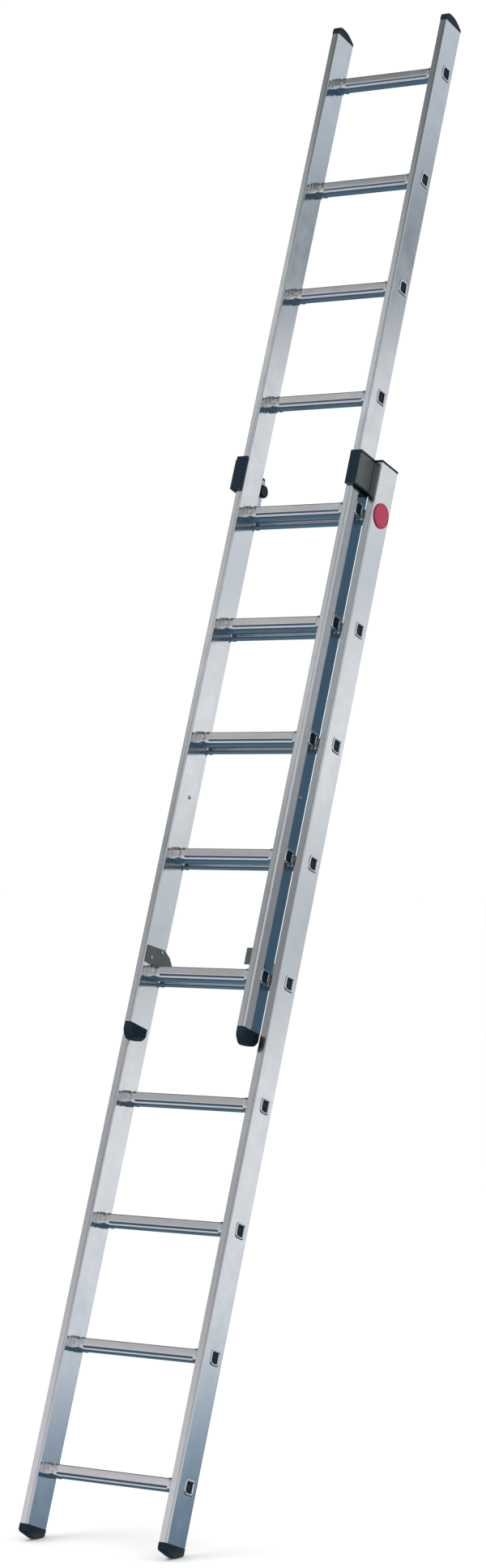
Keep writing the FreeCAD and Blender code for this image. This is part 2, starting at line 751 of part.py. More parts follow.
def make_knob():
    """The pull knob, a hair off the housing."""
    body = new_body("catch_knob")
    start = f"-{HOUSING_FACE} + bolt_slack"
    round_bar(body, "catch_knob_grip", start, "knob_length", KNOB_AXIS, "knob_width")
    end = f"{start} + knob_length / 2"
    round_hole(body, "catch_knob_bore", end, "knob_length / 2", KNOB_AXIS, "bolt_width")
    return body


def make_bolt():
    """The catch's spring bolt, from inside the knob into the hollow stile."""
    body = new_body("catch_bolt")
    length = "knob_length / 2 + bolt_slack + housing_height + stile_wall + catch_travel"
    start = f"-{HOUSING_FACE} + bolt_slack + knob_length / 2 - ({length})"
    round_bar(body, "catch_bolt_bar", start, length, KNOB_AXIS, "bolt_width")
    return body


def make_sections():
    parts = []
    for section in (BASE, FLY):
        for side in (-1, 1):
            stile = make_stile(section, side)
            drill_stile(stile, section, side)
            parts.append(stile)
            parts.append(make_plugs(section, side))
        for index in range(round(size("rung_count"))):
            parts.append(make_rung(section, index))
    return parts


def drill_stile(stile, section, side):
    """The holes of everything that is riveted to a stile."""
    if section is FLY:
        for name, middle in hook_rivet_places():
            drill_wall(stile, section, side, f"hook_{name}", middle, "rivet_shank")
        drill_wall(stile, section, side, "stop", STOP_PLACE, "rivet_shank", True)
        return
    for name, middle in strap_rivet_places():
        drill_wall(stile, section, side, f"strap_{name}", middle, "rivet_shank")
    if side < 0:
        width = "bolt_width + 2 * bolt_slack"
        drill_wall(stile, section, side, "catch_bolt", KNOB_AXIS, width)
        for name, middle in housing_rivet_places():
            drill_wall(stile, section, side, f"catch_{name}", middle, "rivet_shank")


def make_fittings():
    parts = []
    makers = (
        make_foot, make_lid, make_heel, make_top_cap, make_strap, make_liner,
        make_strap_rivets, make_hook, make_hook_rivets, make_stop_rivet,
    )
    for maker in makers:
        for side in (-1, 1):
            parts.append(maker(side))
    for maker in (make_badge, make_housing, make_housing_rivets, make_knob, make_bolt):
        parts.append(maker())
    return parts


def check_model(parts):
    """Stop on any object that failed or any sub-part without a sound shape."""
    for item in doc.Objects:
        if "Invalid" in item.State or "Error" in item.State:
            raise RuntimeError(f"{item.Name} failed: {item.State}")
    for part in parts:
        shape = part.Shape
        if shape.isNull() or not shape.isValid() or not shape.Solids:
            raise RuntimeError(f"{part.Label} has no sound shape")


def write_parts(parts):
    os.makedirs("parts", exist_ok=True)
    for part in parts:
        part.Shape.exportStep(f"parts/{part.Label}.step")
        solids = len(part.Shape.Solids)
        print(f"{part.Label}: {solids} solid(s), {part.Shape.Volume / 1000:.2f} cm3")


fill_sheet()
sub_parts = make_sections() + make_fittings()
doc.recompute()
check_model(sub_parts)
write_parts(sub_parts)
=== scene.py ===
import json
import math

import bmesh
import bpy
from mathutils import Matrix, Vector


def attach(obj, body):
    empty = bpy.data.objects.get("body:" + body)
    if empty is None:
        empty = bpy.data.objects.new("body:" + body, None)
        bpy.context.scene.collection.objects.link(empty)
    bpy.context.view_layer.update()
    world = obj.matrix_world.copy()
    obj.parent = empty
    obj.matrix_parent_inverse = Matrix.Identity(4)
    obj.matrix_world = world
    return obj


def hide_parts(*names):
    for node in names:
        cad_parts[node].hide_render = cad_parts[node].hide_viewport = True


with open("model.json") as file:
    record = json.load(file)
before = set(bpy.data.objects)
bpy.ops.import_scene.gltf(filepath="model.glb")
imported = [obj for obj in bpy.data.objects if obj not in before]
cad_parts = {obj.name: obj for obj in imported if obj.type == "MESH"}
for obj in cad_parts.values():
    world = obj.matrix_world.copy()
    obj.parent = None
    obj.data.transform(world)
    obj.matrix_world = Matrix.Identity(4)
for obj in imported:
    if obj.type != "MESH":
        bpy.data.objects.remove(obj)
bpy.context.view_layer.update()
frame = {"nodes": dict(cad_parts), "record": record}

# --- Camera -----------------------------------------------------------------
# Held level at eye height, well back and to the climber's right, with a long
# lens, so that the stiles stay nearly parallel.
camera_data = bpy.data.cameras.new("camera")
camera_data.sensor_width = 36.0
camera_data.lens = 88.0
camera = bpy.data.objects.new("camera", camera_data)
camera.location = (4.882, -7.195, 1.637)
camera.rotation_euler = (math.radians(90), 0, math.radians(34.36))
bpy.context.scene.collection.objects.link(camera)
bpy.context.scene.camera = camera

# --- Studio -----------------------------------------------------------------
# A seamless pale floor under an even white sky. Polished metal sees a studio
# with darker strips: a steel blue floor, pale walls and a grey ceiling.


def linear(hex_colour):
    """An sRGB hex colour as the linear colour that a shader takes."""
    channels = [int(hex_colour[i : i + 2], 16) / 255 for i in (1, 3, 5)]
    return [c / 12.92 if c <= 0.04045 else ((c + 0.055) / 1.055) ** 2.4 for c in channels] + [1.0]


def add_node(tree, kind, settings=None, links=None):
    """One shader node, with its settings, and links from other nodes' outputs."""
    node = tree.nodes.new(kind)
    for name, value in (settings or {}).items():
        if name in node.inputs:
            node.inputs[name].default_value = value
        else:
            setattr(node, name, value)
    for name, source in (links or {}).items():
        tree.links.new(source, node.inputs[name])
    return node


def new_material(name):
    """A material with an empty node tree: the material, its tree and its output node."""
    material = bpy.data.materials.new(name)
    material.use_nodes = True
    material.node_tree.nodes.clear()
    return material, material.node_tree, add_node(material.node_tree, "ShaderNodeOutputMaterial")


bpy.context.scene.view_settings.view_transform = "Standard"
world = bpy.data.worlds.new("studio")
world.use_nodes = True
world.cycles.sampling_method = "NONE"  # the sky is even, and each kind of ray sees its own
bpy.context.scene.world = world
sky = world.node_tree
sky.nodes.clear()

# What the metal mirrors, from straight down to straight up: elevation in degrees, colour.
mirrored = (
    (-90, "#40606f"), (-30, "#4a6274"), (-13, "#587083"), (-10.6, "#6c879c"), (-9.7, "#8fa6b8"),
    (-9.0, "#c2d0dc"), (-8.2, "#f4f7fa"), (-4.2, "#ffffff"), (-3.0, "#cfd4d8"), (-2.0, "#bcc6cd"),
    (-1.2, "#dfe2e4"), (0.0, "#ffffff"), (2.0, "#ffffff"), (3.1, "#c6ced8"), (4.6, "#ffffff"),
    (6.2, "#f6f6f8"), (7.2, "#9ba4ab"), (8.4, "#7d878e"), (9.4, "#ccd6e0"), (16, "#eceaec"),
    (23, "#e6e2e4"), (25.8, "#939698"), (27.9, "#d8d5d7"), (30, "#8d9090"), (31.6, "#8f9292"),
    (33.7, "#ffffff"), (35.9, "#8f9393"), (38.3, "#ffffff"), (40.2, "#a9aead"), (42.5, "#6d736f"),
    (60, "#6c726f"), (90, "#666b6a"),
)
ray = add_node(sky, "ShaderNodeTexCoord")
height = add_node(sky, "ShaderNodeSeparateXYZ", links={"Vector": ray.outputs["Generated"]})
upward = add_node(sky, "ShaderNodeMapRange", {"From Min": -1.0}, {"Value": height.outputs["Z"]})
walls = add_node(sky, "ShaderNodeValToRGB", links={"Fac": upward.outputs["Result"]})
stops = walls.color_ramp.elements
for index, (degrees, colour) in enumerate(mirrored):
    place = (math.sin(math.radians(degrees)) + 1) / 2
    stop = stops[index] if index < 2 else stops.new(place)
    stop.position = place
    stop.color = linear(colour)
curtain_side = add_node(  # a steel blue curtain stands behind the ladder, on the climber's left
    sky, "ShaderNodeVectorMath", {"operation": "DOT_PRODUCT"}, {"Vector": ray.outputs["Generated"]}
)
curtain_side.inputs[1].default_value = (-0.8, 0.6, 0.0)
curtain = add_node(
    sky, "ShaderNodeMapRange", {"From Min": 0.5, "From Max": 0.72},
    {"Value": curtain_side.outputs["Value"]},
)
surround = add_node(
    sky, "ShaderNodeMixRGB", {"Color2": linear("#557388")},
    {"Fac": curtain.outputs["Result"], "Color1": walls.outputs["Color"]},
)
kind = add_node(sky, "ShaderNodeLightPath")
seen_in_metal = add_node(
    sky, "ShaderNodeBackground", {"Strength": 1.0}, {"Color": surround.outputs["Color"]}
)
plain_white = add_node(
    sky, "ShaderNodeBackground", {"Color": (1.0, 1.0, 1.0, 1.0), "Strength": 1.06}
)
either = add_node(sky, "ShaderNodeMixShader")
sky.links.new(kind.outputs["Is Glossy Ray"], either.inputs[0])
sky.links.new(plain_white.outputs["Background"], either.inputs[1])
sky.links.new(seen_in_metal.outputs["Background"], either.inputs[2])
add_node(sky, "ShaderNodeOutputWorld", links={"Surface": either.outputs["Shader"]})

# Matt white emulsion: faint roller texture, no gloss.
floor_paint, tree, output = new_material("matt_white_emulsion")
place = add_node(tree, "ShaderNodeTexCoord")
roller = add_node(
    tree, "ShaderNodeTexNoise", {"Scale": 260.0, "Detail": 3.0}, {"Vector": place.outputs["Object"]}
)
patch = add_node(
    tree, "ShaderNodeTexNoise", {"Scale": 1.3, "Detail": 2.0}, {"Vector": place.outputs["Object"]}
)
white = add_node(
    tree, "ShaderNodeMixRGB",
    {"Color1": linear("#fbfbfb"), "Color2": linear("#fefefe")}, {"Fac": patch.outputs["Fac"]},
)
bump = add_node(
    tree, "ShaderNodeBump", {"Strength": 0.1, "Distance": 0.0002}, {"Height": roller.outputs["Fac"]}
)
paint = add_node(
    tree, "ShaderNodeBsdfPrincipled", {"Roughness": 0.95, "Specular IOR Level": 0.1},
    {"Base Color": white.outputs["Color"], "Normal": bump.outputs["Normal"]},
)
tree.links.new(paint.outputs["BSDF"], output.inputs["Surface"])

bpy.ops.mesh.primitive_plane_add(size=80.0, location=(0, 0, -0.0005))
floor = bpy.context.object
floor.name = "floor"
floor.data.materials.append(floor_paint)
floor.visible_glossy = False

key_data = bpy.data.lights.new("key", "AREA")
key_data.size = 3.0
key_data.energy = 60.0
key = bpy.data.objects.new("key", key_data)
key.location = (-2.4, -3.2, 4.2)
key.rotation_euler = (Vector((0, 0, 1.8)) - key.location).to_track_quat("-Z", "Y").to_euler()
key.visible_camera = False
key.visible_glossy = False
bpy.context.scene.collection.objects.link(key)

# --- Stiles -----------------------------------------------------------------
# Four hollow extrusions of EN AW-6063, sawn to length and left in mill finish.
# Front and back edges carry fine grip ribs and one deeper groove near a corner,
# and both walls are punched for the rungs.
MM = 0.001
joints = {joint["name"]: joint for joint in frame["record"]["behaviour"]["joints"]}
slide_axis = Vector(joints["fly_slide"]["axis"])
lean = math.atan2(slide_axis.y, slide_axis.z)
to_ladder = Matrix.Rotation(lean, 3, "X")


def span(node):
    """Lowest and highest corner of a CAD node along the ladder's own, unleaned axes."""
    spots = [to_ladder @ vertex.co for vertex in frame["nodes"][node].data.vertices]
    low = Vector([min(spot[axis] for spot in spots) for axis in range(3)])
    high = Vector([max(spot[axis] for spot in spots) for axis in range(3)])
    return low, high


def outline(corners, steps=4):
    """A closed outline from corners (across, up, radius): each is rounded in so many steps."""
    ring = []
    count = len(corners)
    for index, (across, up, radius) in enumerate(corners):
        corner = Vector((across, up))
        if radius == 0:
            ring.append(corner)
            continue
        ends = []
        for other in (corners[index - 1], corners[(index + 1) % count]):
            edge = Vector(other[:2]) - corner
            ends.append(corner + edge.normalized() * min(radius, 0.49 * edge.length))
        for step in range(steps + 1):
            t = step / steps
            ring.append(ends[0] * (1 - t) ** 2 + corner * (2 * t * (1 - t)) + ends[1] * t**2)
    return ring


def loft(shape, rings, loop=False):
    """Skins ring after ring of points; the ends are closed, or the last ring meets the first."""
    rows = [[shape.verts.new(spot) for spot in ring] for ring in rings]
    pairs = list(zip(rows, rows[1:]))
    if loop:
        pairs.append((rows[-1], rows[0]))
    else:
        shape.faces.new(rows[0])
        shape.faces.new(rows[-1])
    for near, far in pairs:
        for index in range(len(near)):
            after = (index + 1) % len(near)
            shape.faces.new((near[index], near[after], far[after], far[index]))


def keep_faces_flat(piece):
    """Lets big faces set the shading, so that rounded edges don't cloud them."""
    flat_faces = piece.modifiers.new("flat_faces_stay_flat", "WEIGHTED_NORMAL")
    flat_faces.keep_sharp = True


def finished_piece(name, shape, material, body, slot, *nodes):
    """A mesh drawn along the ladder's own axes, leaned with it, in place of CAD nodes."""
    bmesh.ops.remove_doubles(shape, verts=shape.verts, dist=0.002 * MM)
    bmesh.ops.recalc_face_normals(shape, faces=shape.faces)
    mesh = bpy.data.meshes.new(name)
    shape.to_mesh(mesh)
    shape.free()
    mesh.materials.append(material)
    mesh.shade_smooth()
    mesh.set_sharp_from_angle(angle=math.radians(35))
    piece = bpy.data.objects.new(name, mesh)
    piece.rotation_euler.x = -lean
    bpy.context.scene.collection.objects.link(piece)
    keep_faces_flat(piece)
    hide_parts(*nodes)
    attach(piece, body)
    return piece


def cut_out(piece, cutter_shape):
    """Cuts a second shape out of a piece's mesh, for good."""
    mesh = bpy.data.meshes.new("cutter")
    bmesh.ops.recalc_face_normals(cutter_shape, faces=cutter_shape.faces)
    cutter_shape.to_mesh(mesh)
    cutter_shape.free()
    cutter = bpy.data.objects.new("cutter", mesh)
    cutter.rotation_euler.x = -lean
    bpy.context.scene.collection.objects.link(cutter)
    piece.modifiers.clear()
    cut = piece.modifiers.new("holes", "BOOLEAN")
    cut.object = cutter
    cut.solver = "EXACT"
    bpy.context.view_layer.update()
    settled = piece.evaluated_get(bpy.context.evaluated_depsgraph_get())
    punched = bpy.data.meshes.new_from_object(settled)
    piece.modifiers.clear()
    piece.data = punched
    punched.set_sharp_from_angle(angle=math.radians(35))
    keep_faces_flat(piece)
    bpy.data.objects.remove(cutter)


# Mill-finish extruded 6063 aluminium: die lines run the whole length, the colour
# is a cool silver, and the gloss comes and goes with handling and oxide.
stile_metal, tree, output = new_material("extruded_aluminium_mill_finish")
place = add_node(tree, "ShaderNodeTexCoord")
die_scale = add_node(  # die lines 0.9 mm apart, drawn three times as coarse as real ones
    tree, "ShaderNodeMapping", {"Scale": (1100.0, 1100.0, 1.6)}, {"Vector": place.outputs["Object"]}
)
die_lines = add_node(
    tree, "ShaderNodeTexNoise", {"Scale": 1.0, "Detail": 3.0}, {"Vector": die_scale.outputs["Vector"]}
)
oxide = add_node(  # patches of oxide and hand grease about 50 mm across
    tree, "ShaderNodeTexNoise", {"Scale": 20.0, "Detail": 5.0, "Roughness": 0.6},
    {"Vector": place.outputs["Object"]},
)
rub_scale = add_node(  # rub marks 2 mm wide and 40 mm long, up and down the stile
    tree, "ShaderNodeMapping", {"Scale": (480.0, 480.0, 24.0)}, {"Vector": place.outputs["Object"]}
)
rubs = add_node(
    tree, "ShaderNodeTexNoise", {"Scale": 1.0, "Detail": 2.0}, {"Vector": rub_scale.outputs["Vector"]}
)
silver = add_node(
    tree, "ShaderNodeMixRGB",
    {"Color1": linear("#dfe1e4"), "Color2": linear("#d2d6da")}, {"Fac": oxide.outputs["Fac"]},
)
marked = add_node(tree, "ShaderNodeMapRange", {"From Min": 0.62, "From Max": 0.8, "To Max": 0.35},
                  {"Value": rubs.outputs["Fac"]})
worn = add_node(
    tree, "ShaderNodeMixRGB", {"Color2": linear("#bfc3c8")},
    {"Fac": marked.outputs["Result"], "Color1": silver.outputs["Color"]},
)
haze = add_node(
    tree, "ShaderNodeMapRange", {"From Min": 0.3, "From Max": 0.7, "To Min": 0.09, "To Max": 0.15},
    {"Value": oxide.outputs["Fac"]},
)
grooved = add_node(
    tree, "ShaderNodeBump", {"Strength": 0.22, "Distance": 0.00006},
    {"Height": die_lines.outputs["Fac"]},
)
metal = add_node(
    tree, "ShaderNodeBsdfPrincipled", {"Metallic": 1.0},
    {"Base Color": worn.outputs["Color"], "Roughness": haze.outputs["Result"],
     "Normal": grooved.outputs["Normal"]},
)
tree.links.new(metal.outputs["BSDF"], output.inputs["Surface"])

stile_wall = 2 * MM
corner_round = 2.4 * MM
deep_groove = (4.2 * MM, 1.4 * MM, 1.1 * MM)  # from the right corner, width, depth
grip_pitch = 1.6 * MM
grip_depth = 0.06 * MM
hole_inside_tube = 0.5 * MM


def ribbed_edge(low, high):
    """Points across the front edge of a stile: (across, how deep), from low to high."""
    from_corner, width, depth = deep_groove
    groove = high - from_corner - width
    ribs = int((groove - low - corner_round - grip_pitch) / grip_pitch)
    points = [(low, 0, corner_round)]
    for rib in range(ribs):
        across = low + corner_round + (rib + 0.5) * grip_pitch
        points += [(across, 0, 0), (across + grip_pitch * 0.25, grip_depth, 0)]
        points += [(across + grip_pitch * 0.5, 0, 0)]
    points += [(groove, 0, 0), (groove + width / 4, depth, 0)]
    points += [(groove + width * 3 / 4, depth, 0), (groove + width, 0, 0)]
    points += [(high, 0, corner_round)]
    return points


def stile_shape(low, high):
    """The hollow ribbed extrusion between two corners."""
    edge = ribbed_edge(low.x, high.x)
    corners = [(across, low.y + depth, radius) for across, depth, radius in edge]
    corners += [(across, high.y - depth, radius) for across, depth, radius in reversed(edge)]
    outer = outline(corners)
    inner = []
    for spot in outer:
        across = min(max(spot.x, low.x + stile_wall), high.x - stile_wall)
        back = min(max(spot.y, low.y + stile_wall), high.y - stile_wall)
        inner.append(Vector((across, back)))
    ends = (low.z, high.z)
    rings = [[Vector((p.x, p.y, ends[0])) for p in inner], [Vector((p.x, p.y, ends[0])) for p in outer]]
    rings += [[Vector((p.x, p.y, ends[1])) for p in outer], [Vector((p.x, p.y, ends[1])) for p in inner]]
    shape = bmesh.new()
    loft(shape, rings, loop=True)
    return shape


# The rung's own outline, which the holes share: flat front and top, a rounded
# lower nose. Tread and step are the ribs and the set-back of the bare tube.
tread_ribs = 7


def rung_ring(x, low, high, swell=0.0, tread=0.0, step=0.0, pinch=0.0):
    """One ring of points around a rung at x, between the corners of its bare tube.

    Swaging rounds the front: wherever there is no step, both front corners are round.
    """
    middle = (low + high) / 2
    half = (high.z - low.z) / 2
    top_round = 0.22 * half if step > 0 else 0.62 * half
    corners = [(half, half, 0.35 * half)]
    for rib in range(tread_ribs):
        across = half * (0.6 - 0.92 * rib / (tread_ribs - 1))
        corners += [(across, half, 0), (across - 0.08 * half, half - tread, 0)]
    corners += [(-half, half, top_round), (-half, -0.24 * half, 0.1 * half)]
    corners += [(-0.97 * half + step, -0.55 * half, 0.1 * half)]
    corners += [(-0.84 * half + 0.55 * step, -0.84 * half + 0.1 * step, 0.12 * half)]
    corners += [(-0.5 * half, -half, 0.15 * half), (half, -half, 0.35 * half)]
    ring = []
    for spot in outline(corners):
        turn = math.atan2(spot.y, spot.x)
        scale = 1 + (swell - pinch * math.cos(4 * turn) ** 2) / half
        ring.append(Vector((x, middle.y + spot.x * scale, middle.z + spot.y * scale)))
    return ring


rim_width = 3 * MM


def tube_corners(node):
    """The corners of a rung's bare tube, inside the flared rims of its CAD node."""
    low, high = span(node)
    inset = Vector((0, rim_width, rim_width))
    return low + inset, high - inset


rung_numbers = range(1, 1 + sum(name.startswith("base_rung_") for name in frame["nodes"]))
sides = (("left", -1), ("right", 1))
for section in ("base", "fly"):
    for side, outward in sides:
        node = f"{section}_stile_{side}"
        low, high = span(node)
        stile = finished_piece(
            f"{section}_stile_{side}_extrusion", stile_shape(low, high), stile_metal,
            section, "stile_aluminium", node,
        )
        punches = bmesh.new()
        for number in rung_numbers:
            tube_low, tube_high = tube_corners(f"{section}_rung_{number}")
            reach = (low.x - 3 * MM, high.x + 3 * MM)
            loft(punches, [rung_ring(x, tube_low, tube_high, -hole_inside_tube) for x in reach])
        cut_out(stile, punches)

# --- Rungs ------------------------------------------------------------------
# Eighteen drawn aluminium tubes. Each is swaged out against the inside of the
# stile in a crimped collar, passes through both walls and is flared outside.

# Drawn and swaged 6060 aluminium: brighter and a little warmer than the stiles,
# with draw lines along the tube.
rung_metal, tree, output = new_material("drawn_aluminium_bright")
place = add_node(tree, "ShaderNodeTexCoord")
draw_scale = add_node(  # draw lines 0.8 mm apart, along the rung
    tree, "ShaderNodeMapping", {"Scale": (3.0, 1250.0, 1250.0)}, {"Vector": place.outputs["Object"]}
)
draw_lines = add_node(
    tree, "ShaderNodeTexNoise", {"Scale": 1.0, "Detail": 3.0}, {"Vector": draw_scale.outputs["Vector"]}
)
tarnish = add_node(  # shoe-sized patches, 90 mm across
    tree, "ShaderNodeTexNoise", {"Scale": 11.0, "Detail": 6.0, "Roughness": 0.65},
    {"Vector": place.outputs["Object"]},
)
bright = add_node(
    tree, "ShaderNodeMixRGB",
    {"Color1": linear("#e2e0e1"), "Color2": linear("#d3d3d6")}, {"Fac": tarnish.outputs["Fac"]},
)
scuffed = add_node(
    tree, "ShaderNodeMapRange", {"From Min": 0.3, "From Max": 0.7, "To Min": 0.14, "To Max": 0.24},
    {"Value": tarnish.outputs["Fac"]},
)
drawn = add_node(
    tree, "ShaderNodeBump", {"Strength": 0.25, "Distance": 0.00006},
    {"Height": draw_lines.outputs["Fac"]},
)
metal = add_node(
    tree, "ShaderNodeBsdfPrincipled", {"Metallic": 1.0},
    {"Base Color": bright.outputs["Color"], "Roughness": scuffed.outputs["Result"],
     "Normal": drawn.outputs["Normal"]},
)
tree.links.new(metal.outputs["BSDF"], output.inputs["Surface"])

tread_depth = 0.5 * MM
nose_step = 3.4 * MM
# The collar, from where it leaves the bare tube to the stile: mm short of the
# stile's inner face, swell and crimp depth in mm.
collar = (
    (27, 0.4, 0), (25.5, 1.3, 0), (22, 1.5, 0), (18.5, 1.0, 0.2), (15, 1.0, 0.9), (12, 1.3, 0.9),
    (10, 2.2, 0.3), (8, 2.6, 0), (6.2, 2.2, 0), (5, 1.5, 0), (3.6, 1.7, 0), (1.6, 2.5, 0), (0, 2.5, 0),
)
# The flare, from the stile's outer face out and back into the bore: mm beyond
# the outer face and swell in mm.
flare = (
    (-0.2, 0), (0, 2.3), (0.4, 2.9), (0.8, 3.0), (1.3, 2.6), (1.8, 1.7), (2.0, 0.6), (1.9, -0.5),
    (1.4, -1.6), (0.6, -2.3), (-0.6, -2.6), (-9.0, -2.6),
)
for section in ("base", "fly"):
    stile_low, stile_high = span(f"{section}_stile_right")
    for number in rung_numbers:
        node = f"{section}_rung_{number}"
        low, high = tube_corners(node)
        half_stations = [(stile_low.x - 29 * MM, 0, tread_depth, nose_step, 0)]
        for short, swell, crimp in collar:
            half_stations.append((stile_low.x - short * MM, swell * MM, 0, 0, crimp * MM))
        half_stations.append((stile_low.x + 0.2 * MM, 0, 0, 0, 0))
        for beyond, swell in flare:
            half_stations.append((stile_high.x + beyond * MM, swell * MM, 0, 0, 0))
        stations = [(-x, *rest) for x, *rest in reversed(half_stations)] + half_stations
        tube = bmesh.new()
        rings = []
        for x, swell, tread, step, pinch in stations:
            rings.append(rung_ring(x, low, high, swell, tread, step, pinch))
        loft(tube, rings)
        finished_piece(
            f"{section}_rung_{number}_tube", tube, rung_metal, section, "rung_aluminium", node
        )

# --- Rung end plugs ---------------------------------------------------------
# Black plugs pushed into the flared ends, one for each end of each rung. Each
# has a raised border and a small pip where it was gated.

# Injection-moulded black polypropylene: satin, fine spark-eroded grain, with a
# blue-black cast and paler scuffs.
black_plastic, tree, output = new_material("moulded_polypropylene_black")
place = add_node(tree, "ShaderNodeTexCoord")
grain = add_node(  # spark grain 0.5 mm across
    tree, "ShaderNodeTexVoronoi", {"Scale": 2000.0}, {"Vector": place.outputs["Object"]}
)
scuff_noise = add_node(
    tree, "ShaderNodeTexNoise", {"Scale": 90.0, "Detail": 6.0, "Roughness": 0.7},
    {"Vector": place.outputs["Object"]},
)
scuff = add_node(
    tree, "ShaderNodeMapRange", {"From Min": 0.5, "From Max": 0.78, "To Max": 0.5},
    {"Value": scuff_noise.outputs["Fac"]},
)
black = add_node(
    tree, "ShaderNodeMixRGB",
    {"Color1": linear("#0a2230"), "Color2": linear("#1c3745")}, {"Fac": scuff.outputs["Result"]},
)
satin = add_node(
    tree, "ShaderNodeMapRange", {"To Min": 0.42, "To Max": 0.6}, {"Value": scuff_noise.outputs["Fac"]}
)
eroded = add_node(
    tree, "ShaderNodeBump", {"Strength": 0.25, "Distance": 0.0001},
    {"Height": grain.outputs["Distance"]},
)
plastic = add_node(
    tree, "ShaderNodeBsdfPrincipled", {"IOR": 1.49, "Specular IOR Level": 0.22},
    {"Base Color": black.outputs["Color"], "Roughness": satin.outputs["Result"],
     "Normal": eroded.outputs["Normal"]},
)
tree.links.new(plastic.outputs["BSDF"], output.inputs["Surface"])

# From the inner end to the visible face: mm from the stile's outer face, inset in mm.
plug_steps = (
    (-12.5, 4.2), (-11, 2.8), (-2.2, 2.8), (-1.6, 3.1), (-1.5, 4.3), (-2.1, 4.9), (-2.3, 8.5),
    (-1.5, 9.2), (-1.1, 11.0), (-1.1, 12.5),
)
for section in ("base", "fly"):
    for side, outward in sides:
        node = f"{section}_plugs_{side}"
        face = span(f"{section}_stile_{side}")[(outward + 1) // 2].x
        plugs = bmesh.new()
        for number in rung_numbers:
            low, high = tube_corners(f"{section}_rung_{number}")
            loft(
                plugs,
                [rung_ring(face + outward * x * MM, low, high, -inset * MM) for x, inset in plug_steps],
            )
        finished_piece(
            f"{section}_end_plugs_{side}", plugs, black_plastic, section, "cap_plastic", node
        )

# --- Feet -------------------------------------------------------------------
# Two moulded rubber feet pushed over the base stiles. The toe is rounded and
# the sole, cut flat to the floor at the lean, has grip grooves across it.

# Moulded styrene-butadiene rubber: matt blue-black, a coarse mould grain, and
# pale dust worn into the lowest few centimetres.
rubber, tree, output = new_material("moulded_rubber_matt")
place = add_node(tree, "ShaderNodeTexCoord")
grain = add_node(  # mould grain 1.1 mm across
    tree, "ShaderNodeTexNoise", {"Scale": 900.0, "Detail": 3.0}, {"Vector": place.outputs["Object"]}
)
ground = add_node(tree, "ShaderNodeNewGeometry")
level = add_node(tree, "ShaderNodeSeparateXYZ", links={"Vector": ground.outputs["Position"]})
low_down = add_node(
    tree, "ShaderNodeMapRange", {"From Max": 0.02, "To Min": 0.55, "To Max": 0.0},
    {"Value": level.outputs["Z"]},
)
dust_noise = add_node(
    tree, "ShaderNodeTexNoise", {"Scale": 160.0, "Detail": 5.0}, {"Vector": place.outputs["Object"]}
)
dust = add_node(
    tree, "ShaderNodeMath", {"operation": "MULTIPLY"},
    {"Value": low_down.outputs["Result"]},
)
tree.links.new(dust_noise.outputs["Fac"], dust.inputs[1])
dusty = add_node(
    tree, "ShaderNodeMixRGB", {"Color1": linear("#0a1f2b"), "Color2": linear("#5d6466")},
    {"Fac": dust.outputs["Value"]},
)
mould = add_node(
    tree, "ShaderNodeBump", {"Strength": 0.3, "Distance": 0.0002}, {"Height": grain.outputs["Fac"]}
)
surface = add_node(
    tree, "ShaderNodeBsdfPrincipled", {"Roughness": 0.72, "IOR": 1.52, "Specular IOR Level": 0.3},
    {"Base Color": dusty.outputs["Color"], "Normal": mould.outputs["Normal"]},
)
tree.links.new(surface.outputs["BSDF"], output.inputs["Surface"])


def inset(corners, amount):
    """The same outline drawn inward by an amount."""
    moved = []
    count = len(corners)
    for index, (across, up, radius) in enumerate(corners):
        corner = Vector((across, up))
        into = (corner - Vector(corners[index - 1][:2])).normalized()
        away = (Vector(corners[(index + 1) % count][:2]) - corner).normalized()
        normals = [Vector((-edge.y, edge.x)) for edge in (into, away)]
        shift = (normals[0] + normals[1]) / (1 + normals[0].dot(normals[1]))
        moved.append((*(corner + shift * amount), radius))
    return moved


def rounded_slab(shape, near, far, corners, edge):
    """An outline across the ladder, given anticlockwise as (back, up), from x near to x far."""
    rings = []
    steps = 4
    for end, inward in ((near, 1), (far, -1)):
        bow = []
        for step in range(steps + 1):
            turn = math.radians(90 * step / steps)
            x = end + inward * edge * (1 - math.sin(turn))
            bow.append([Vector((x, *p)) for p in outline(inset(corners, edge * (1 - math.cos(turn))))])
        rings += list(reversed(bow)) if inward == 1 else bow
    loft(shape, rings)


# In mm: places behind the foot's front, heights below its seam with the stile.
foot_toe = 44
foot_front = 17
foot_low = 26
groove_pitch = 7
groove_depth = 1.8
for side, outward in sides:
    node = f"base_foot_{side}"
    low, high = span(node)
    seam = span(f"base_stile_{side}")[0].z
    depth = (high.y - low.y) / MM
    rise = math.tan(lean)
    corners = [(0, 0, 0), (0, -foot_front, 6), (foot_toe, -foot_low, 12)]
    back = foot_toe + 5
    while back < depth - 12:
        for along, deep in ((0, 0), (0.8, groove_depth), (2.6, groove_depth), (3.4, 0)):
            corners.append((back + along, -foot_low + (back + along - foot_toe) * rise + deep, 0))
        back += groove_pitch
    corners += [(depth - 4, -foot_low + (depth - 4 - foot_toe) * rise, 4)]
    corners += [(depth, -foot_low + (depth + 6 - foot_toe) * rise, 4), (depth, 0, 0)]
    foot = bmesh.new()
    outlined = [(low.y + back * MM, seam + up * MM, radius * MM) for back, up, radius in corners]
    rounded_slab(foot, low.x, high.x, outlined, 1.6 * MM)
    finished_piece(f"base_foot_{side}_boot", foot, rubber, "base", "foot_rubber", node)

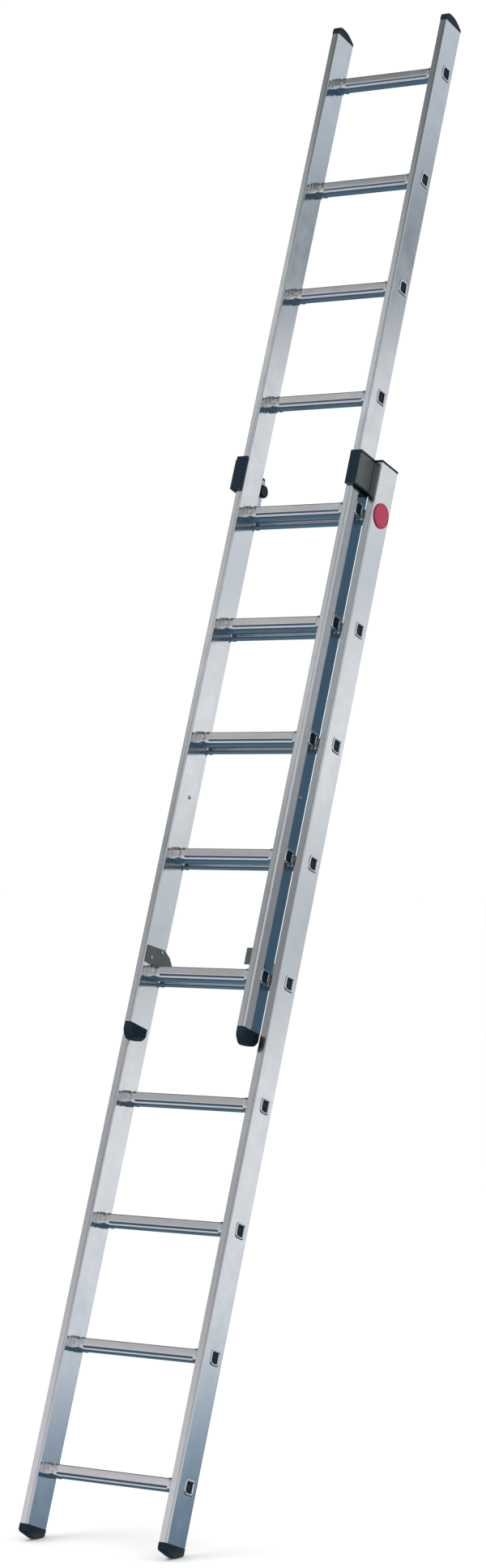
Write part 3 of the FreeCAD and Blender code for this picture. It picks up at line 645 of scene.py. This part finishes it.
# --- Caps -------------------------------------------------------------------
# Moulded black caps close the other stile ends: a thin lid on each base stile,
# an arched cap on each fly stile, and a ribbed heel under it.
cap_edge = 1.8 * MM
lid_edge = 1.0 * MM
rib_count = 8
rib_width = 2.4 * MM
rib_proud = 1.4 * MM
rib_edge = 0.5 * MM
rib_top = -3 * MM  # below the seam
rib_round = 1 * MM
for side, outward in sides:
    node = f"base_lid_{side}"
    low, high = span(node)
    seam = span(f"base_stile_{side}")[1].z
    lid = bmesh.new()
    top_round = (high.z - seam) * 0.9
    corners = [(low.y, seam, 0), (high.y, seam, 0), (high.y, high.z, top_round), (low.y, high.z, 1.5 * MM)]
    rounded_slab(lid, low.x, high.x, corners, lid_edge)
    finished_piece(f"base_lid_{side}_moulding", lid, black_plastic, "base", "cap_plastic", node)

    node = f"fly_top_cap_{side}"
    low, high = span(node)
    seam = span(f"fly_stile_{side}")[1].z
    peak = high.z - seam
    depth = high.y - low.y
    corners = [(0, 0, 0), (depth, 0, 0), (depth, 0.28 * peak, 4 * MM), (0.56 * depth, peak, 18 * MM)]
    corners += [(0.13 * depth, peak, 8 * MM), (0, 0.64 * peak, 4 * MM)]
    cap = bmesh.new()
    rounded_slab(cap, low.x, high.x, [(low.y + b, seam + u, r) for b, u, r in corners], cap_edge)
    finished_piece(f"fly_top_cap_{side}_moulding", cap, black_plastic, "fly", "cap_plastic", node)

    node = f"fly_heel_{side}"
    low, high = span(node)
    seam = span(f"fly_stile_{side}")[0].z
    depth = high.y - low.y
    drop = seam - low.z
    corners = [(0, 0, 0), (0, -0.52 * drop, 5 * MM), (0.2 * depth, -0.97 * drop, 7 * MM)]
    corners += [(0.36 * depth, -drop, 6 * MM), (0.82 * depth, -0.84 * drop, 7 * MM)]
    corners += [(depth, -0.5 * drop, 5 * MM), (depth, 0, 0)]
    heel = bmesh.new()
    rounded_slab(
        heel, low.x + rib_proud, high.x - rib_proud,
        [(low.y + b, seam + u, r) for b, u, r in corners], cap_edge,
    )
    for rib in range(rib_count):
        back = depth * (0.2 + 0.66 * rib / (rib_count - 1))
        foot_of_rib = -drop * (0.86 - 0.3 * rib / (rib_count - 1))
        ridge = [(back, foot_of_rib), (back + rib_width, foot_of_rib)]
        ridge += [(back + rib_width, rib_top), (back, rib_top)]
        corners = [(low.y + b, seam + u, rib_round) for b, u in ridge]
        rounded_slab(heel, low.x, high.x, corners, rib_edge)
    finished_piece(f"fly_heel_{side}_moulding", heel, black_plastic, "fly", "cap_plastic", node)

# --- Top guides -------------------------------------------------------------
# A folded, powder-coated steel strap on each base stile reaches round the
# fly stile, and a black moulded channel pushed onto it keeps metal off metal.

# Powder-coated sheet steel: dark olive grey, half gloss, with a fine orange peel
# and a little thinner, paler coating where it has been handled.
coated, tree, output = new_material("powder_coated_steel_olive_grey")
place = add_node(tree, "ShaderNodeTexCoord")
peel = add_node(  # orange peel 1.4 mm across
    tree, "ShaderNodeTexNoise", {"Scale": 700.0, "Detail": 1.0}, {"Vector": place.outputs["Object"]}
)
handled = add_node(  # patches 22 mm across where hands go
    tree, "ShaderNodeTexNoise", {"Scale": 45.0, "Detail": 6.0, "Roughness": 0.7},
    {"Vector": place.outputs["Object"]},
)
coat_colour = add_node(
    tree, "ShaderNodeMixRGB",
    {"Color1": linear("#343c39"), "Color2": linear("#4c534e")}, {"Fac": handled.outputs["Fac"]},
)
coat_gloss = add_node(
    tree, "ShaderNodeMapRange", {"To Min": 0.28, "To Max": 0.46}, {"Value": handled.outputs["Fac"]}
)
peeled = add_node(
    tree, "ShaderNodeBump", {"Strength": 0.2, "Distance": 0.0001}, {"Height": peel.outputs["Fac"]}
)
powder_coat = add_node(
    tree, "ShaderNodeBsdfPrincipled", {"IOR": 1.5, "Coat Weight": 0.15, "Coat Roughness": 0.2},
    {"Base Color": coat_colour.outputs["Color"], "Roughness": coat_gloss.outputs["Result"],
     "Normal": peeled.outputs["Normal"]},
)
tree.links.new(powder_coat.outputs["BSDF"], output.inputs["Surface"])


def soften(node, material, edge):
    """Keeps a CAD node's own shape, with its folded or moulded edges rounded off."""
    part = frame["nodes"][node]
    part.material_slots[0].material = material
    rounding = part.modifiers.new("soft_edges", "BEVEL")
    rounding.width = edge
    rounding.segments = 3
    rounding.limit_method = "ANGLE"
    rounding.angle_limit = math.radians(40)
    rounding.harden_normals = True
    part.data.shade_smooth()


for side, outward in sides:
    soften(f"guide_strap_{side}", coated, 0.7 * MM)
    soften(f"guide_liner_{side}", black_plastic, 1.6 * MM)

# --- Hook plates ------------------------------------------------------------
# Pressed steel plates riveted inside the fly stiles, hooked over a base rung.
# The right one has a tab for a finger. Same coating as the guides.
for side, outward in sides:
    soften(f"hook_plate_{side}", coated, 0.5 * MM)

# --- Rivets -----------------------------------------------------------------
# Blind aluminium rivets, domed, with the hole that the pulled mandrel leaves.

# Bright cold-headed aluminium: small and shiny, finely dimpled, grey in the hole.
rivet_metal, tree, output = new_material("cold_headed_aluminium")
place = add_node(tree, "ShaderNodeTexCoord")
dimple = add_node(  # dimples 0.7 mm across
    tree, "ShaderNodeTexNoise", {"Scale": 1400.0, "Detail": 2.0}, {"Vector": place.outputs["Object"]}
)
headed = add_node(
    tree, "ShaderNodeMixRGB",
    {"Color1": linear("#d9dadc"), "Color2": linear("#b9bcbf")}, {"Fac": dimple.outputs["Fac"]},
)
struck = add_node(
    tree, "ShaderNodeBump", {"Strength": 0.3, "Distance": 0.0001}, {"Height": dimple.outputs["Fac"]}
)
metal = add_node(
    tree, "ShaderNodeBsdfPrincipled", {"Metallic": 1.0, "Roughness": 0.28},
    {"Base Color": headed.outputs["Color"], "Normal": struck.outputs["Normal"]},
)
tree.links.new(metal.outputs["BSDF"], output.inputs["Surface"])


def turned(shape, start, outward, centre, profile, points=32):
    """A turned form about an axis along X: profile is (x beyond start, radius), end to end."""
    rings = []
    for along, radius in profile:
        ring = []
        for point in range(points):
            turn = 2 * math.pi * point / points
            spot = Vector((0, math.cos(turn), math.sin(turn))) * radius
            ring.append(centre + spot + Vector((start + outward * along - centre.x, 0, 0)))
        rings.append(ring)
    loft(shape, rings)


def separate_solids(node):
    """Low and high corners, along the ladder's axes, of each separate solid of a CAD node."""
    whole = bmesh.new()
    whole.from_mesh(frame["nodes"][node].data)
    bmesh.ops.remove_doubles(whole, verts=whole.verts, dist=0.01 * MM)
    unseen = set(whole.verts)
    boxes = []
    while unseen:
        front = [unseen.pop()]
        spots = []
        while front:
            vertex = front.pop()
            spots.append(to_ladder @ vertex.co)
            for edge in vertex.link_edges:
                other = edge.other_vert(vertex)
                if other in unseen:
                    unseen.remove(other)
                    front.append(other)
        ends = [[pick(spot[axis] for spot in spots) for axis in range(3)] for pick in (min, max)]
        boxes.append([Vector(end) for end in ends])
    whole.free()
    return boxes


head_height = 2.2 * MM
mandrel_hole = 1.2 * MM  # radius
hole_depth = 1.3 * MM


def rivet_profile(width, length):
    """From the hidden tail to the domed head and down its mandrel hole."""
    radius = width / 2
    tail = 0.55 * radius
    dome = [(0, tail), (length - head_height, tail), (length - head_height, radius)]
    dome += [(length - head_height * 0.62, radius * 0.99)]
    for step in range(1, 5):
        turn = math.radians(90 * step / 5)
        dome.append((length - head_height * (0.62 - 0.62 * math.sin(turn)), radius * math.cos(turn) ** 0.8))
    dome += [(length, mandrel_hole * 1.15), (length - hole_depth, mandrel_hole)]
    dome.append((length - hole_depth, 0.3 * MM))
    return dome


riveted = [(f"guide_rivets_{side}", "base", -outward) for side, outward in sides]
riveted += [(f"hook_rivets_{side}", "fly", -outward) for side, outward in sides]
riveted += [(f"stop_rivet_{side}", "fly", -outward) for side, outward in sides]
riveted += [("catch_rivets", "base", 1)]
for node, body, facing in riveted:
    rivets = bmesh.new()
    for low, high in separate_solids(node):
        centre = (low + high) / 2
        start = low.x if facing > 0 else high.x
        turned(rivets, start, facing, centre, rivet_profile(high.y - low.y, high.x - low.x))
        if node.startswith("stop"):
            second_head = rivet_profile(high.y - low.y, (high.x - low.x) / 2)
            turned(rivets, centre.x, -facing, centre, second_head)
    finished_piece(f"{node}_domed", rivets, rivet_metal, body, "rivet_aluminium", node)

# --- Badge ------------------------------------------------------------------
# A plain round plastic badge snapped over the top rung's flare on the right
# base stile: a raised border round a shallow dome, with nothing written on it.

# Polished red ABS: raspberry, glossy, with hairline swirls from wiping.
red_abs, tree, output = new_material("polished_abs_red")
place = add_node(tree, "ShaderNodeTexCoord")
swirl = add_node(
    tree, "ShaderNodeTexNoise", {"Scale": 130.0, "Detail": 6.0, "Distortion": 2.0},
    {"Vector": place.outputs["Object"]},
)
raspberry = add_node(
    tree, "ShaderNodeMixRGB",
    {"Color1": linear("#a3294a"), "Color2": linear("#ad3452")}, {"Fac": swirl.outputs["Fac"]},
)
wiped = add_node(
    tree, "ShaderNodeMapRange", {"To Min": 0.2, "To Max": 0.38}, {"Value": swirl.outputs["Fac"]}
)
abs_shader = add_node(
    tree, "ShaderNodeBsdfPrincipled", {"IOR": 1.53, "Specular IOR Level": 0.25},
    {"Base Color": raspberry.outputs["Color"], "Roughness": wiped.outputs["Result"]},
)
tree.links.new(abs_shader.outputs["BSDF"], output.inputs["Surface"])

low, high = span("badge")
radius = (high.z - low.z) / 2
thick = high.x - low.x
badge = bmesh.new()
profile = [(0, radius * 0.98), (thick * 0.55, radius), (thick * 0.85, radius * 0.985)]
profile += [(thick * 0.98, radius * 0.955), (thick, radius * 0.93), (thick * 0.98, radius * 0.905)]
profile += [(thick * 0.8, radius * 0.885), (thick * 0.72, radius * 0.86)]
for ring in range(1, 7):
    share = 0.86 * (1 - ring / 7)
    profile.append((thick * (0.72 + 0.24 * (1 - (share / 0.86) ** 2)), radius * share))
profile.append((thick * 0.965, 0.4 * MM))
turned(badge, low.x, 1, (low + high) / 2, profile, points=72)
finished_piece("badge_domed", badge, red_abs, "base", "badge_red", "badge")

# --- Spring catch -----------------------------------------------------------
# A small zinc-plated housing on the left base stile's inner face, with a
# sprung bolt and a fluted black knob to pull it.

# Bright zinc plate on folded sheet: bluish silver with a soft spangle.
zinc, tree, output = new_material("zinc_plated_steel")
place = add_node(tree, "ShaderNodeTexCoord")
spangle = add_node(  # spangle 5 mm across
    tree, "ShaderNodeTexVoronoi", {"Scale": 200.0}, {"Vector": place.outputs["Object"]}
)
plate = add_node(
    tree, "ShaderNodeMixRGB",
    {"Color1": linear("#ccd0d4"), "Color2": linear("#b3b9c0")}, {"Fac": spangle.outputs["Distance"]},
)
plate_gloss = add_node(
    tree, "ShaderNodeMapRange", {"To Min": 0.22, "To Max": 0.4}, {"Value": spangle.outputs["Distance"]}
)
metal = add_node(
    tree, "ShaderNodeBsdfPrincipled", {"Metallic": 1.0},
    {"Base Color": plate.outputs["Color"], "Roughness": plate_gloss.outputs["Result"]},
)
tree.links.new(metal.outputs["BSDF"], output.inputs["Surface"])
soften("catch_housing", zinc, 0.8 * MM)
soften("catch_bolt", zinc, 0.4 * MM)

low, high = span("catch_knob")
centre = (low + high) / 2
radius = (high.z - low.z) / 2
length = high.x - low.x
flutes = 14
flute_depth = 0.9 * MM
fluted_above = 0.8  # share of the radius
knob_profile = [(0, 0.62), (0.06, 0.7), (0.3, 0.72), (0.36, 0.95), (0.42, 1.0), (0.8, 1.0)]
knob_profile += [(0.92, 0.95), (0.98, 0.85), (1.0, 0.7), (0.97, 0.62), (0.95, 0.3), (0.95, 0.03)]
knob = bmesh.new()
rings = []
points = flutes * 8
for along, share in knob_profile:
    ring = []
    for point in range(points):
        turn = 2 * math.pi * point / points
        flute = flute_depth * (0.5 + 0.5 * math.cos(flutes * turn)) if share > fluted_above else 0
        spot = Vector((0, math.cos(turn), math.sin(turn))) * (radius * share - flute)
        ring.append(Vector((low.x + along * length, centre.y, centre.z)) + spot)
    rings.append(ring)
loft(knob, rings)
finished_piece("catch_knob_fluted", knob, black_plastic, "catch", "knob_plastic", "catch_knob")
